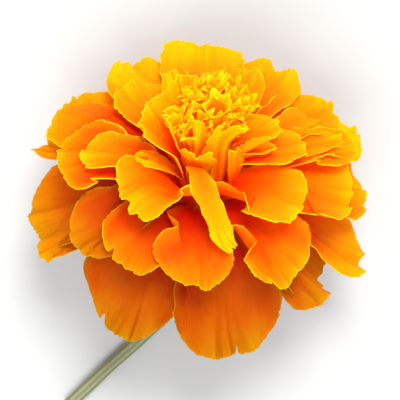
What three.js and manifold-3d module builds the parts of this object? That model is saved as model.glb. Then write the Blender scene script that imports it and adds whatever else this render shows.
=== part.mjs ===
// Marigold flower, a double crested bloom of Tagetes, picked and lying on a flat surface.
// Millimetres, +Z up. The bloom is made about its own axis first: the origin of that frame is the
// middle of the involucre's mouth and its +Z runs out through the crest. The whole flower is then
// laid over, so that it leans towards -Y and rests on its reflexed back florets and on its stem.
import * as THREE from 'three';
import Module from 'manifold-3d';

const wasm = await Module();
wasm.setup();

// Driving dimensions.
const LEAN_FROM_VERTICAL = 42;      // degrees between the bloom's axis and the vertical
const TURN_ABOUT_VERTICAL = 8;      // degrees that the lean is turned from -Y
const FLOOR_BELOW_MOUTH = 25;       // height of the involucre's mouth above the surface
const FLOOR_BEND = 1.2;             // how softly a blade bends onto the surface
const FLORET_THICKNESS = 0.4;
const FLORET_GAP = 0.3;             // clearance kept between neighbouring florets
const CLAW_HALF_WIDTH = 0.5;        // a floret's narrow foot, inside the involucre's mouth
const CLAW_FOOT_Z = -1.0;
const RING_RADII = [5.1, 4.3, 3.5, 2.75, 2.0];   // rings that the claws stand on, outermost first
const ACROSS = 4;                   // mesh steps across a floret
const ALONG = 8;                    // mesh steps along a floret
const MOUTH_RADIUS = 5.75;          // inside of the involucre's mouth
const CUP_WALL = 0.6;
const CUP_DEPTH = 15.0;
const CUP_TOOTH = 1.8;
const CUP_TEETH = 8;
const STEM_RADIUS = 1.25;
const STEM_NECK_RADIUS = 2.1;       // swelling just under the involucre
const STEM_NECK_LENGTH = 9;
const SEAT = 0.3;                   // clearance where one piece sits on another
const CREST_HEIGHT = 22;            // top of the disc florets above the mouth
const CREST_MIDDLE = [2.0, 5.3];    // where the disc florets' tuft stands, off the bloom's axis
const CREST_MIDDLE_HEIGHT = 20.8;

const rad = THREE.MathUtils.degToRad;
const clamp01 = (x) => Math.min(1, Math.max(0, x));

// The laid pose: the bloom's own frame to the frame of the surface it lies on.
const layOver = new THREE.Matrix4()
  .makeRotationZ(rad(180 - TURN_ABOUT_VERTICAL))
  .multiply(new THREE.Matrix4().makeRotationX(rad(-LEAN_FROM_VERTICAL)));
const toFloor = new THREE.Matrix4().makeTranslation(0, 0, FLOOR_BELOW_MOUTH).multiply(layOver);

const flower = new THREE.Group();
flower.name = 'marigold_flower';

function finish(color, roughness) {
  return new THREE.MeshStandardMaterial({ color, roughness, metalness: 0 });
}

function addPart(name, geometry, material) {
  const mesh = new THREE.Mesh(geometry, material);
  mesh.name = name;
  flower.add(mesh);
  return mesh;
}

// A closed body from its vertices and triangles, and back.
function solidFrom(points, triangles) {
  const flat = new Float32Array(points.length * 3);
  points.forEach((p, i) => flat.set([p.x, p.y, p.z], i * 3));
  return new wasm.Manifold(new wasm.Mesh({
    numProp: 3, vertProperties: flat, triVerts: new Uint32Array(triangles),
  }));
}

function geometryFrom(solid) {
  const mesh = solid.getMesh();
  const geometry = new THREE.BufferGeometry();
  const positions = new Float32Array(mesh.numVert * 3);
  for (let i = 0; i < mesh.numVert; i += 1) {
    for (let k = 0; k < 3; k += 1) {
      positions[i * 3 + k] = mesh.vertProperties[i * mesh.numProp + k];
    }
  }
  geometry.setAttribute('position', new THREE.BufferAttribute(positions, 3));
  geometry.setIndex(new THREE.BufferAttribute(new Uint32Array(mesh.triVerts), 1));
  geometry.computeVertexNormals();
  return geometry;
}

// Ray florets. Each is named for its place seen from the crest's side, with the blade's compass
// angle about the axis, how far its tip reaches from the axis, the tip's height above the mouth,
// the angle its tip leans from the axis, its width, and the ring that its claw stands on. A few
// have a shape of their own: the tip's round, square and slant; skew, widest, flare and taper for
// how the width grows; cup, clawCup, fold and roll for the section across (degrees); start (degrees),
// rise and tail (mm) for the midline; late, swirl and bow for how it swings; shift of the claw.
const florets = [
  { name: 'low_1', compass: 291, reach: 27.3, height: -13, lean: 128, width: 19.5, ring: 0,
    round: 0.24, square: 3.2, widest: 0.64 },
  { name: 'low_2', compass: 249, reach: 26.2, height: -13.5, lean: 126, width: 19, ring: 0,
    round: 0.36, square: 2.2, skew: -0.16, widest: 0.55, roll: -4 },
  { name: 'low_3', compass: 339.5, reach: 26.8, height: -10.8, lean: 118, width: 23, ring: 0,
    round: 0.24, slant: 0.07, skew: 0.08, roll: -12 },
  { name: 'low_4', compass: 189.5, reach: 28.9, height: -9.4, lean: 116, width: 18, ring: 0,
    round: 0.28, square: 3.2, slant: 0.04, skew: -0.04, widest: 0.62, roll: -15 },
  { name: 'low_5', compass: 203, reach: 28.4, height: -10, lean: 118, width: 11, ring: 0, round: 0.36,
    square: 2.2 },
  { name: 'low_6', compass: 353, reach: 31.8, height: -9.5, lean: 112, width: 13, ring: 0,
    round: 0.14, slant: 0.06, skew: 0.36, roll: -4 },
  { name: 'low_7', compass: 16, reach: 31.7, height: -3, lean: 104, width: 19, ring: 0, round: 0.14,
    slant: -0.03, roll: 3 },
  { name: 'low_8', compass: 169, reach: 31.6, height: -1, lean: 98, width: 8, ring: 0, round: 0.5,
    square: 1.5 },
  { name: 'back_1', compass: 50, reach: 27, height: -12, lean: 124, width: 17, ring: 0 },
  { name: 'back_2', compass: 76, reach: 26, height: -13, lean: 127, width: 18, ring: 0 },
  { name: 'back_3', compass: 104, reach: 26, height: -13, lean: 127, width: 18, ring: 0 },
  { name: 'back_4', compass: 134, reach: 27, height: -12, lean: 124, width: 17, ring: 0 },
  { name: 'back_5', compass: 63, reach: 30, height: -4, lean: 108, width: 17, ring: 0 },
  { name: 'back_6', compass: 92, reach: 30, height: -4, lean: 108, width: 17, ring: 0 },
  { name: 'back_7', compass: 120, reach: 30, height: -4, lean: 108, width: 17, ring: 0 },
  { name: 'mid_1', compass: 276, reach: 23.7, height: 3, lean: 112, width: 14, ring: 1, round: 0.2,
    slant: -0.05, skew: -0.15, widest: 0.85, flare: 0.8, clawCup: 34, cup: 10 },
  { name: 'mid_2', compass: 244, reach: 22.4, height: 0.4, lean: 112, width: 14.4, ring: 1,
    round: 0.26, skew: -0.14, flare: 0.7, clawCup: 40 },
  { name: 'mid_3', compass: 316, reach: 26.2, height: 2, lean: 108, width: 14.4, ring: 1, round: 0.16,
    slant: 0.06, skew: 0.1, flare: 0.8, clawCup: 34 },
  { name: 'mid_4', compass: 219, reach: 24.6, height: -1.8, lean: 112, width: 12.4, ring: 1,
    skew: -0.1, flare: 0.9, roll: -16 },
  { name: 'mid_5', compass: 4, reach: 28, height: 2, lean: 100, width: 22.5, ring: 1, round: 0.26,
    square: 2.6, slant: -0.06, skew: -0.02, roll: -4 },
  { name: 'mid_6', compass: 33, reach: 33.4, height: 2, lean: 95, width: 14, ring: 1, round: 0.16 },
  { name: 'mid_7', compass: 26, reach: 30.5, height: 5, lean: 90, width: 9.5, ring: 2, round: 0.14,
    skew: -0.2 },
  { name: 'mid_8', compass: 179, reach: 24.8, height: 5, lean: 100, width: 15, ring: 1, round: 0.16,
    skew: 0.12, roll: -12 },
  { name: 'mid_9', compass: 160, reach: 29.5, height: -1, lean: 98, width: 12, ring: 1 },
  { name: 'mid_10', compass: 46, reach: 32.5, height: 3.8, lean: 86, width: 12, ring: 1, round: 0.14,
    skew: -0.1 },
  { name: 'mid_11', compass: 66, reach: 31.0, height: 7, lean: 82, width: 12.5, ring: 1, round: 0.14 },
  { name: 'mid_12', compass: 95, reach: 30.6, height: 8, lean: 80, width: 16, ring: 1, round: 0.06,
    square: 4, slant: -0.02 },
  { name: 'mid_13', compass: 123, reach: 30.3, height: 6, lean: 84, width: 16, ring: 1, round: 0.3 },
  { name: 'mid_14', compass: 146, reach: 30.2, height: 3, lean: 88, width: 12, ring: 1, round: 0.3 },
  { name: 'high_1', compass: 227, reach: 17.8, height: 10, lean: 105, width: 12.5, ring: 2,
    round: 0.1, slant: -0.08, skew: 0.06, flare: 0.7, clawCup: 40 },
  { name: 'high_2', compass: 275.5, reach: 20.6, height: 8.3, lean: 112, width: 4.1, ring: 3,
    round: 0.12, square: 3, widest: 0.62, flare: 1.35, taper: 0.12, clawCup: -20, cup: -26, rise: 20,
    tail: 13, late: 1.4, swirl: 17, bow: 8, shift: -14 },
  { name: 'high_3', compass: 335, reach: 20.3, height: 9.4, lean: 100, width: 14, ring: 2,
    round: 0.12, slant: 0.04, skew: -0.12, flare: 0.75, clawCup: 40, roll: -4 },
  { name: 'high_4', compass: 27, reach: 28.0, height: 5.8, lean: 90, width: 6.5, ring: 2, round: 0.3,
    skew: 0.15 },
  { name: 'high_5', compass: 185, reach: 21.2, height: 8, lean: 92, width: 9, ring: 2, round: 0.2,
    square: 2.4, slant: -0.02 },
  { name: 'high_6', compass: 157, reach: 28, height: 7, lean: 90, width: 14, ring: 2, round: 0.08,
    slant: -0.06, skew: 0.12, fold: -36 },
  { name: 'high_7', compass: 77, reach: 22.4, height: 12, lean: 74, width: 12, ring: 2, round: 0.16 },
  { name: 'high_8', compass: 133, reach: 21.8, height: 9, lean: 76, width: 12, ring: 2, round: 0.16 },
  { name: 'high_9', compass: 172, reach: 10.9, height: 17, lean: 52, width: 12.5, ring: 3,
    round: 0.04, cup: 8, fold: 8 },
  { name: 'high_10', compass: 21, reach: 13.8, height: 16, lean: 68, width: 9.5, ring: 4, skew: -0.1 },
  { name: 'high_11', compass: 13, reach: 18.5, height: 12, lean: 80, width: 9, ring: 3, round: 0.16 },
  { name: 'high_12', compass: 118, reach: 15.6, height: 16, lean: 60, width: 7.5, ring: 3, cup: 30 },
  { name: 'high_13', compass: 114, reach: 11.6, height: 18.5, lean: 40, width: 9, ring: 3,
    round: 0.12, cup: 30 },
  { name: 'crest_1', compass: 262, reach: 5.9, height: 16.1, lean: 34, width: 7, ring: 4, round: 0.06,
    slant: -0.17, skew: -0.06, cup: 36 },
  { name: 'crest_2', compass: 338, reach: 7.2, height: 20.6, lean: 48, width: 7.0, ring: 3,
    round: 0.1, slant: 0.07, skew: 0.3, widest: 0.8, flare: 0.7, clawCup: 30, cup: 4, fold: 24,
    roll: -30, start: 34, rise: 9, tail: 9 },
  { name: 'crest_3', compass: 4, reach: 12.6, height: 13.5, lean: 65, width: 5, ring: 4, fold: 50 },
  { name: 'crest_4', compass: 244, reach: 3.4, height: 21.2, lean: 10, width: 6.0, ring: 4,
    round: 0.3, skew: -0.1, fold: 52, roll: 20 },
  { name: 'crest_5', compass: 179, reach: 7.4, height: 19, lean: 22, width: 8.5, ring: 4, round: 0.12,
    clawCup: 80, cup: 60 },
  { name: 'crest_6', compass: 322, reach: 3.8, height: 21.0, lean: 8, width: 4.6, ring: 4, round: 0.2,
    cup: 24 },
  { name: 'crest_7', compass: 200.5, reach: 12.4, height: 11.3, lean: 74, width: 4.4, ring: 3 },
  { name: 'crest_8', compass: 340, reach: 5.8, height: 14.8, lean: -8, width: 4.6, ring: 3,
    round: 0.2, flare: 0.7, cup: 10, roll: -30, start: 76, rise: 5, tail: 9 },
];

// Claws stand evenly round their ring, in the order of their blades.
RING_RADII.forEach((radius, ring) => {
  const members = florets.filter((f) => f.ring === ring).sort((a, b) => a.compass - b.compass);
  const step = 360 / members.length;
  const shift = members.reduce((sum, f, i) => sum + f.compass - i * step, 0) / members.length;
  members.forEach((f, i) => {
    f.foot = shift + i * step + (f.shift ?? 0);
    f.footRadius = radius;
  });
});

// Where a floret leaves its ring and how it bends over: steep for the inner rings, and flat
// towards the outer florets that hang down outside the involucre.
function midline(f) {
  const start = rad(f.start ?? Math.max(2, 46 - 11 * f.ring - Math.max(0, f.height) * 1.6));
  const root = new THREE.Vector2(f.footRadius, 0);
  const tip = new THREE.Vector2(f.reach, f.height);
  const chord = root.distanceTo(tip);
  const rise = f.rise ?? chord * (f.ring === 0 ? 0.42 : 0.5);
  const tail = f.tail ?? chord * 0.4;
  return new THREE.CubicBezierCurve(
    root,
    new THREE.Vector2(root.x + rise * Math.sin(start), root.y + rise * Math.cos(start)),
    new THREE.Vector2(tip.x - tail * Math.sin(rad(f.lean)), tip.y - tail * Math.cos(rad(f.lean))),
    tip,
  );
}

// Share of its full width that a floret has at v, from its claw to its tip.
function spreadAt(f, v) {
  const widest = f.widest ?? 0.72;
  const flare = f.flare ?? 1.1;
  if (v >= widest) {
    return 1 - (f.taper ?? 0.1) * ((v - widest) / (1 - widest)) ** 2;
  }
  const opened = 1 - (1 - (v / widest) ** flare) ** 1.6;
  // A blade that widens at once still keeps a narrow claw.
  return flare < 1 ? opened * (0.25 + 0.75 * clamp01((v - 0.03) / 0.16)) : opened;
}

// How far a point of the blade stands to the side of its middle and above it, at u across.
function section(f, u, v, half) {
  const clawCup = f.clawCup ?? 70;
  const bend = rad(clawCup - (clawCup - (f.cup ?? 14)) * v ** 0.7);
  const length = half * Math.abs(u);
  const steps = 8;
  let over = 0;
  let up = 0;
  for (let k = 0; k < steps; k += 1) {
    const part = (k + 0.5) / steps;
    const angle = bend * Math.abs(u) * part + rad(f.fold ?? 0) * clamp01((length * part) / 0.5);
    over += (Math.cos(angle) * length) / steps;
    up += (Math.sin(angle) * length) / steps;
  }
  return [over * Math.sign(u), up];
}

// Middle surface of a floret as rows of points. grow widens and lengthens it all round.
function floretSheet(f, grow) {
  const curve = midline(f);
  const turn = rad(((f.compass - f.foot + 540) % 360) - 180);
  const centre = (t) => {
    const way = clamp01(t);
    const p = curve.getPointAt(way);
    const swing = f.late ? way ** f.late : clamp01(way * 1.6) ** 0.8;
    const angle = rad(f.foot) + turn * swing + rad(f.swirl ?? 0) * way ** 2
      + rad(f.bow ?? 0) * Math.sin(Math.PI * way ** 1.9) ** 2;
    return new THREE.Vector3(p.x * Math.cos(angle), p.x * Math.sin(angle), p.y);
  };
  const rows = [];
  for (let i = 0; i <= ALONG; i += 1) {
    const row = [];
    for (let j = 0; j <= ACROSS; j += 1) {
      const u = -1 + (2 * j) / ACROSS;
      const cut = (f.round ?? 0.26) * Math.abs(u) ** (f.square ?? 2.8) + (f.slant ?? 0) * u;
      const v = clamp01((i / ALONG) * (1 - cut));
      const spot = centre(v);
      const along = centre(v + 0.02).sub(centre(v - 0.02)).normalize();
      const level = new THREE.Vector3(-spot.y, spot.x, 0).normalize();
      level.addScaledVector(along, -level.dot(along)).normalize();
      const inward = new THREE.Vector3().crossVectors(along, level);
      const roll = rad(f.roll ?? 0) * v;
      const side = level.clone().multiplyScalar(Math.cos(roll));
      side.addScaledVector(inward, Math.sin(roll));
      const face = inward.clone().multiplyScalar(Math.cos(roll));
      face.addScaledVector(level, -Math.sin(roll));
      const wide = CLAW_HALF_WIDTH + (f.width / 2 - CLAW_HALF_WIDTH) * spreadAt(f, v);
      const half = wide * (1 + (f.skew ?? 0) * Math.sign(u)) + grow;
      const [over, up] = section(f, u, v, half);
      spot.addScaledVector(side, over);
      spot.addScaledVector(face, up);
      if (i === ALONG) {
        spot.addScaledVector(along, grow);
      }
      row.push(spot.applyMatrix4(toFloor));
    }
    rows.push(row);
  }
  // The claw's foot goes straight down into the mouth.
  const foot = rows[0].map((p) => p.clone());
  const drop = new THREE.Vector3(0, 0, CLAW_FOOT_Z - grow).transformDirection(layOver);
  foot.forEach((p) => p.addScaledVector(drop, Math.abs(CLAW_FOOT_Z) + grow));
  rows.unshift(foot);
  return rows;
}

// Blades that would hang below the surface lie along it instead, with a soft bend into it.
function restOnSurface(rows, clearance) {
  rows.forEach((row) => row.forEach((p) => {
    const above = p.z - clearance;
    if (above < -FLOOR_BEND) {
      p.z = clearance;
    } else if (above < FLOOR_BEND) {
      p.z = clearance + (above + FLOOR_BEND) ** 2 / (4 * FLOOR_BEND);
    }
  }));
}

// The sheet given a thickness, as one closed body.
function floretSolid(f, thickness, grow) {
  const rows = floretSheet(f, grow);
  restOnSurface(rows, FLORET_THICKNESS / 2);
  const n = rows.length;
  const m = rows[0].length;
  const upper = [];
  const lower = [];
  for (let i = 0; i < n; i += 1) {
    for (let j = 0; j < m; j += 1) {
      const down = rows[Math.min(i + 1, n - 1)][j].clone().sub(rows[Math.max(i - 1, 0)][j]);
      const over = rows[i][Math.min(j + 1, m - 1)].clone().sub(rows[i][Math.max(j - 1, 0)]);
      const normal = new THREE.Vector3().crossVectors(over, down).normalize();
      upper.push(rows[i][j].clone().addScaledVector(normal, thickness / 2));
      lower.push(rows[i][j].clone().addScaledVector(normal, -thickness / 2));
    }
  }
  const count = n * m;
  const triangles = [];
  const quad = (a, b, c, d) => triangles.push(a, b, c, a, c, d);
  for (let i = 0; i < n - 1; i += 1) {
    for (let j = 0; j < m - 1; j += 1) {
      const a = i * m + j;
      quad(a, a + 1, a + m + 1, a + m);
      quad(count + a, count + a + m, count + a + m + 1, count + a + 1);
    }
  }
  for (let j = 0; j < m - 1; j += 1) {
    const last = (n - 1) * m + j;
    quad(j, count + j, count + j + 1, j + 1);
    quad(last, last + 1, count + last + 1, count + last);
  }
  for (let i = 0; i < n - 1; i += 1) {
    const a = i * m;
    const b = i * m + m - 1;
    quad(a, a + m, count + a + m, count + a);
    quad(b, count + b, count + b + m, b + m);
  }
  return solidFrom(upper.concat(lower), triangles);
}

// Florets press past one another: each gives way to those made before it, by the gap.
const boxesMeet = (a, b) => a.min.every((low, k) => low < b.max[k] && b.min[k] < a.max[k]);

function giveWay(solid, others) {
  let body = solid;
  others.forEach((other) => {
    if (boxesMeet(body.boundingBox(), other.boundingBox())) {
      body = body.subtract(other);
    }
  });
  const pieces = body.decompose();
  return pieces.reduce((best, piece) => (piece.volume() > best.volume() ? piece : best));
}

const order = ['high', 'mid', 'low', 'crest', 'back'];
const group = (f) => order.indexOf(f.name.split('_')[0]);
const keepClear = [];
florets.slice().sort((a, b) => group(a) - group(b)).forEach((f) => {
  const whole = floretSolid(f, FLORET_THICKNESS, 0);
  const body = giveWay(whole, keepClear);
  keepClear.push(floretSolid(f, FLORET_THICKNESS + 2 * FLORET_GAP, FLORET_GAP));
  addPart(`ray_floret_${f.name}`, geometryFrom(body), finish(0xf58a07, 0.6));
});

// The disc florets bend off the axis as they rise.
function towardsTuft(p, off) {
  const share = (Math.max(0, p.z) / CREST_MIDDLE_HEIGHT) ** 1.5;
  p.x += off[0] * share;
  p.y += off[1] * share;
  return p;
}

// Solids turned about the bloom's axis, from a profile of [radius, height, tooth] that starts and
// ends on the axis. tooth is how much of the involucre's teeth that point carries.
function turned(profile, sides, off = [0, 0]) {
  const points = [];
  const triangles = [];
  const ends = [profile[0], profile[profile.length - 1]];
  const inner = profile.slice(1, -1);
  inner.forEach(([radius, height, tooth = 0]) => {
    for (let k = 0; k < sides; k += 1) {
      const angle = (2 * Math.PI * k) / sides;
      const lift = CUP_TOOTH * tooth * Math.abs(Math.cos((CUP_TEETH / 2) * angle)) ** 1.5;
      points.push(new THREE.Vector3((radius + 0.45 * lift) * Math.cos(angle),
        (radius + 0.45 * lift) * Math.sin(angle), height + lift));
    }
  });
  ends.forEach(([, height]) => points.push(new THREE.Vector3(0, 0, height)));
  const first = points.length - 2;
  const last = points.length - 1;
  for (let k = 0; k < sides; k += 1) {
    const next = (k + 1) % sides;
    triangles.push(first, next, k);
    for (let i = 0; i < inner.length - 1; i += 1) {
      const a = i * sides + k;
      const b = i * sides + next;
      triangles.push(a, b, b + sides, a, b + sides, a + sides);
    }
    const top = (inner.length - 1) * sides;
    triangles.push(last, top + k, top + next);
  }
  points.forEach((p) => towardsTuft(p, off).applyMatrix4(toFloor));
  return solidFrom(points, triangles);
}

// Involucre: the green cup of bracts grown together edge to edge, with their free tips as teeth.
const involucre = turned([
  [0, -CUP_DEPTH - 1.2],
  [2.0, -CUP_DEPTH - 1.1],
  [3.2, -CUP_DEPTH],
  [5.2, -11.5],
  [6.5, -6],
  [MOUTH_RADIUS + CUP_WALL, -0.6],
  [MOUTH_RADIUS + CUP_WALL, -0.2, 1],
  [MOUTH_RADIUS, -0.2, 1],
  [MOUTH_RADIUS, -0.6],
  [6.5 - CUP_WALL, -6],
  [5.2 - CUP_WALL, -11.5],
  [2.5, -CUP_DEPTH + 0.6],
  [0, -CUP_DEPTH + 0.6],
], 32);
addPart('involucre', geometryFrom(giveWay(involucre, keepClear)), finish(0x5f7a35, 0.55));

// The florets' ovaries, packed upright in the cup on the receptacle.
const ovaryTop = CLAW_FOOT_Z - SEAT;
const ovaries = turned([
  [0, -CUP_DEPTH + 0.6 + SEAT],
  [2.1, -CUP_DEPTH + 0.6 + SEAT],
  [5.2 - CUP_WALL - 0.4, -11.5],
  [6.5 - CUP_WALL - 0.4, -6],
  [MOUTH_RADIUS - SEAT, ovaryTop],
  [0, ovaryTop],
], 20);
addPart('ovaries', geometryFrom(ovaries), finish(0x5a4a32, 0.8));

// Disc florets: a tight bundle of tubes on the axis, with the largest standing out of its top.
const bundle = turned([
  [0, CLAW_FOOT_Z],
  [1.3, CLAW_FOOT_Z],
  [1.5, 3],
  [2.6, 9],
  [4.4, 14],
  [5.2, CREST_HEIGHT - 4.6],
  [0, CREST_HEIGHT - 4],
], 14, CREST_MIDDLE);
addPart('disc_floret_bundle', geometryFrom(giveWay(bundle, keepClear)), finish(0xf2a516, 0.6));

const crestTubes = [
  { compass: 270, off: 1.2, top: CREST_HEIGHT, reach: 1.4 },
  { compass: 350, off: 3.0, top: CREST_HEIGHT - 0.6, reach: 4.4 },
  { compass: 50, off: 3.2, top: CREST_HEIGHT - 0.4, reach: 4.6 },
  { compass: 110, off: 3.2, top: CREST_HEIGHT - 0.4, reach: 4.6 },
  { compass: 170, off: 3.0, top: CREST_HEIGHT - 0.6, reach: 4.4 },
];
crestTubes.forEach((tube, i) => {
  const sides = 7;
  const foot = new THREE.Vector3(tube.off, 0, CREST_HEIGHT - 4.0 - 0.12 * tube.off + SEAT + 0.08);
  const head = new THREE.Vector3(tube.reach, 0, tube.top);
  const points = [];
  const triangles = [];
  [[0, 0.55], [0.45, 0.6], [0.8, 0.9], [1, 1.5]].forEach(([way, radius]) => {
    const middle = foot.clone().lerp(head, way);
    for (let k = 0; k < sides; k += 1) {
      const angle = (2 * Math.PI * k) / sides;
      points.push(middle.clone().add(new THREE.Vector3(radius * Math.cos(angle),
        radius * Math.sin(angle), 0)));
    }
  });
  points.push(foot, head.clone().setZ(tube.top - 0.6));
  for (let k = 0; k < sides; k += 1) {
    const next = (k + 1) % sides;
    triangles.push(4 * sides, next, k, 4 * sides + 1, 3 * sides + k, 3 * sides + next);
    for (let r = 0; r < 3; r += 1) {
      const a = r * sides + k;
      const b = r * sides + next;
      triangles.push(a, b, b + sides, a, b + sides, a + sides);
    }
  }
  const spin = new THREE.Matrix4().makeRotationZ(rad(tube.compass));
  points.forEach((p) => towardsTuft(p.applyMatrix4(spin), CREST_MIDDLE).applyMatrix4(toFloor));
  const whole = solidFrom(points, triangles);
  addPart(`disc_floret_${i + 1}`, geometryFrom(giveWay(whole, keepClear)), finish(0xffc21e, 0.6));
});

// Peduncle: the cut stem. It leaves the cup along the bloom's axis, swollen at first, and bends
// until it lies on the surface.
const away = new THREE.Vector3(0, 0, -1).transformDirection(toFloor);
const stemTop = new THREE.Vector3(0, 0, -CUP_DEPTH - 1.2 - SEAT).applyMatrix4(toFloor);
const stemPath = new THREE.CatmullRomCurve3([
  stemTop,
  stemTop.clone().addScaledVector(away, 5),
  new THREE.Vector3(4.4, 21.4, 3.8),
  new THREE.Vector3(10.2, 27.2, 1.7),
  new THREE.Vector3(16.9, 33.2, 1.35),
  new THREE.Vector3(24.8, 40.6, STEM_RADIUS),
]);

function stemSolid(path, rings, sides) {
  const points = [];
  const triangles = [];
  const length = path.getLength();
  const frames = path.computeFrenetFrames(rings, false);
  for (let i = 0; i <= rings; i += 1) {
    const swell = clamp01(1 - (length * i) / rings / STEM_NECK_LENGTH) ** 2;
    const radius = STEM_RADIUS + (STEM_NECK_RADIUS - STEM_RADIUS) * swell;
    for (let k = 0; k < sides; k += 1) {
      const angle = (2 * Math.PI * k) / sides;
      points.push(path.getPointAt(i / rings)
        .addScaledVector(frames.normals[i], radius * Math.cos(angle))
        .addScaledVector(frames.binormals[i], radius * Math.sin(angle)));
    }
  }
  points.push(path.getPointAt(0), path.getPointAt(1));
  const start = points.length - 2;
  for (let k = 0; k < sides; k += 1) {
    const next = (k + 1) % sides;
    triangles.push(start, next, k, start + 1, rings * sides + k, rings * sides + next);
    for (let i = 0; i < rings; i += 1) {
      const a = i * sides + k;
      const b = i * sides + next;
      triangles.push(a, b, b + sides, a, b + sides, a + sides);
    }
  }
  return solidFrom(points, triangles);
}
addPart('peduncle', geometryFrom(stemSolid(stemPath, 18, 12)), finish(0x7d8a5a, 0.6));

// The frame's origin is on the surface, under the middle of the flower's outline.
const outline = new THREE.Box3().setFromObject(flower);
const middle = outline.getCenter(new THREE.Vector3());
flower.position.set(-middle.x, -middle.y, -outline.min.z);

export default flower;
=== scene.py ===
import math

import bpy
import numpy as np
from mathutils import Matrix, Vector


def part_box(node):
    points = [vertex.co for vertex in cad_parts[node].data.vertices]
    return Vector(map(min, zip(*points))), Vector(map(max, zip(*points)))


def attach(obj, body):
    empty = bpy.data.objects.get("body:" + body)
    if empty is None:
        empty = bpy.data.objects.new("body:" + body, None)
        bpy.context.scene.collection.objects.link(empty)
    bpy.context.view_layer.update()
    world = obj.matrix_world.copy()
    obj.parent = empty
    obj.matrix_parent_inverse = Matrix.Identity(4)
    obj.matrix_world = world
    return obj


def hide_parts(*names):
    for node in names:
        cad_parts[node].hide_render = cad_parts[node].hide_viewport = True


# A double crested marigold flower, picked with a short stem and lying on a plain surface.
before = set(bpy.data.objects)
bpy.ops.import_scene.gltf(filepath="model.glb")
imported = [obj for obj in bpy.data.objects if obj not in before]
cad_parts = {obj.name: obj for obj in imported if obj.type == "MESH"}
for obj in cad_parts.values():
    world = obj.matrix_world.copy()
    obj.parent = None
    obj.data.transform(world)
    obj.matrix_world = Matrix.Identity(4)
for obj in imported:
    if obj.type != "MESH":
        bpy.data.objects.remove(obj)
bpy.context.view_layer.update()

# ---------------------------------------------------------------------------
# The bloom's own frame. The flower is made round its axis, in millimetres, with the origin in
# the middle of the cup's mouth and +Z out through the crest, and is then laid over so that it
# leans towards -Y. The ovaries' flat top, just inside the mouth, says where that frame lies.
MM = 0.001
LEAN = math.radians(42)
TURN = math.radians(8)
OVARY_TOP = -1.3
OVARY_FLATNESS = 0.2


def turn_about(axis, angle):
    """The matrix that turns points about the axis "x" or "z"."""
    c, s = math.cos(angle), math.sin(angle)
    if axis == "z":
        return np.array([[c, -s, 0], [s, c, 0], [0, 0, 1]])
    return np.array([[1, 0, 0], [0, c, -s], [0, s, c]])


laid = turn_about("z", math.pi - TURN) @ turn_about("x", -LEAN)
ovary_points = np.array([v.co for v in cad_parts["ovaries"].data.vertices])
up_the_axis = ovary_points @ laid[:, 2]
top_ring = ovary_points[up_the_axis > up_the_axis.max() - OVARY_FLATNESS * MM]
mouth = (top_ring.min(0) + top_ring.max(0)) / 2 - laid[:, 2] * OVARY_TOP * MM


def place(points):
    """Points of the bloom's frame, in mm, where they lie in the row frame, in metres."""
    return points @ laid.T * MM + mouth


# ---------------------------------------------------------------------------
# The camera looks straight down on the lying flower, with the crest's side at the top.
CAMERA_ABOVE_MOUTH = 0.300
CAMERA_ASIDE = (-0.0007, 0.0011)
VIEW_WIDTH = 0.0714

camera_data = bpy.data.cameras.new("camera")
camera_data.lens = camera_data.sensor_width * CAMERA_ABOVE_MOUTH / VIEW_WIDTH
camera = bpy.data.objects.new("camera", camera_data)
camera.location = mouth + np.array([*CAMERA_ASIDE, CAMERA_ABOVE_MOUTH])
camera.rotation_euler = (0, 0, math.pi)
bpy.context.collection.objects.link(camera)
bpy.context.scene.camera = camera


# ---------------------------------------------------------------------------
# Peduncle: the fleshy flower stalk, swollen under the cup and cut with a knife at its far end. It
# is ribbed lengthwise, grey green, and flushed brown where the sun reached it.
STEM_RADIUS = 1.25
STEM_NECK_RADIUS = 2.1
STEM_NECK_LENGTH = 9.0
STEM_RIBS = 7
STEM_RIB_DEPTH = 0.045
STEM_WANDER = 0.03
STEM_SLIMMING = 0.96
STEM_SIDES = 42
STEM_STEPS = 16
CUP_FOOT = -16.5
MOUTH_HEIGHT = 25.0
CUT_RINGS = (0.72, 0.4)
CUT_FACE = 1.2


def new_object(name, points, faces, smooth=True):
    """A mesh of these points and faces, in metres, as an object of the scene."""
    mesh = bpy.data.meshes.new(name)
    mesh.from_pydata([tuple(p) for p in points], [], faces)
    mesh.polygons.foreach_set("use_smooth", [smooth] * len(mesh.polygons))
    mesh.update()
    made = bpy.data.objects.new(name, mesh)
    bpy.context.collection.objects.link(made)
    return made


def grid_faces(rows, columns, closed=False):
    """Quads of a grid of points, row by row; closed joins the last column to the first."""
    faces = []
    for i in range(rows - 1):
        for j in range(columns if closed else columns - 1):
            k = (j + 1) % columns
            faces.append((i * columns + j, i * columns + k,
                          (i + 1) * columns + k, (i + 1) * columns + j))
    return faces


def point_value(made, name, values):
    """A number for each point of the mesh, which a material can read by its name."""
    layer = made.data.attributes.new(name, "FLOAT", "POINT")
    layer.data.foreach_set("value", np.asarray(values, dtype=np.float32).ravel())


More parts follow.
